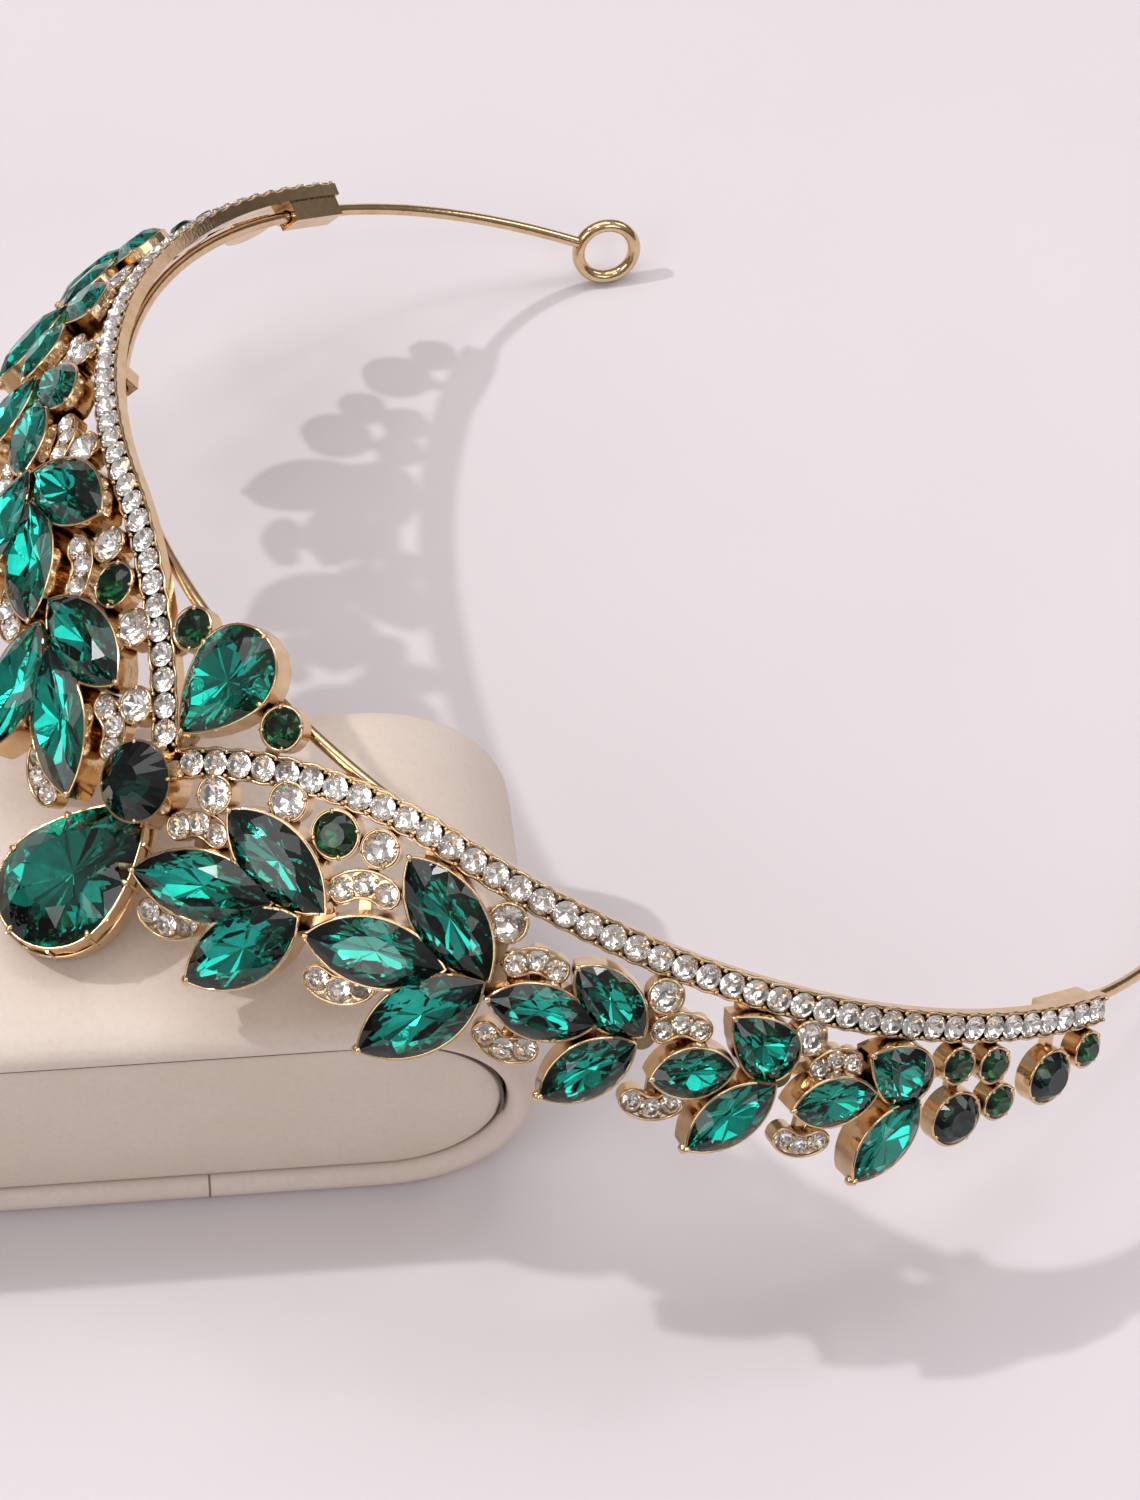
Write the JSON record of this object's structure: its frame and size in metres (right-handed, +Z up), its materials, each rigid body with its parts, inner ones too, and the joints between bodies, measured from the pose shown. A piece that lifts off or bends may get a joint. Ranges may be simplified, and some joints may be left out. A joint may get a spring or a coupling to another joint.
{
  "type": "rhinestone tiara on padded display block",
  "caption": "Gilt tiara of green leaf and pear stones with a clear stone rail, lying upside down with its front on a padded display block.",
  "frame": {"origin": "on the table, under the middle of the box round the tiara and its block", "axes": "+Z up from the table, -Y the side that the tiara's front faces, +X towards the half of the crest that is nearer in the picture"},
  "size_m": [0.1546, 0.1854, 0.066],
  "materials": {
    "gilt_metal": "polished light gold plate",
    "clear_crystal": "cut clear crystal with foiled back",
    "green_glass": "cut emerald green glass with foiled back",
    "deep_green_glass": "cut deep green glass with foiled back",
    "wrap_leather": "cream fine grained leather, padded",
    "panel_leather": "cream fine grained leather on a flat panel"
  },
  "bodies": {
    "root": {"crest_casting": "gilt_metal", "band_wire": "gilt_metal", "big_pear_stone": "deep_green_glass", "low_pear_stone": "green_glass", "peak_round_stone": "deep_green_glass", "block_wrap": "wrap_leather", "block_core": "panel_leather", "rail_pave_left": "clear_crystal", "rail_pave_right": "clear_crystal", "crescent_stones_left": "clear_crystal", "crescent_stones_right": "clear_crystal", "clear_rounds_left": "clear_crystal", "clear_rounds_right": "clear_crystal", "green_rounds_left": "green_glass", "green_rounds_right": "green_glass", "leaf_a1_left": "green_glass", "leaf_a1_right": "green_glass", "leaf_a2_left": "green_glass", "leaf_a2_right": "green_glass", "leaf_a3_left": "green_glass", "leaf_a3_right": "green_glass", "leaf_b1_left": "green_glass", "leaf_b1_right": "green_glass", "leaf_b2_left": "green_glass", "leaf_b2_right": "green_glass", "leaf_b3_left": "green_glass", "leaf_b3_right": "green_glass", "leaf_c1_left": "green_glass", "leaf_c1_right": "green_glass", "leaf_c2_left": "green_glass", "leaf_c2_right": "green_glass", "leaf_c3_left": "green_glass", "leaf_c3_right": "green_glass", "leaf_d1_left": "green_glass", "leaf_d1_right": "green_glass", "leaf_d2_left": "green_glass", "leaf_d2_right": "green_glass", "leaf_d3_left": "green_glass", "leaf_d3_right": "green_glass", "leaf_e1_left": "green_glass", "leaf_e1_right": "green_glass", "leaf_e2_left": "green_glass", "leaf_e2_right": "green_glass", "leaf_e3_left": "green_glass", "leaf_e3_right": "green_glass"}
  },
  "joints": []
}
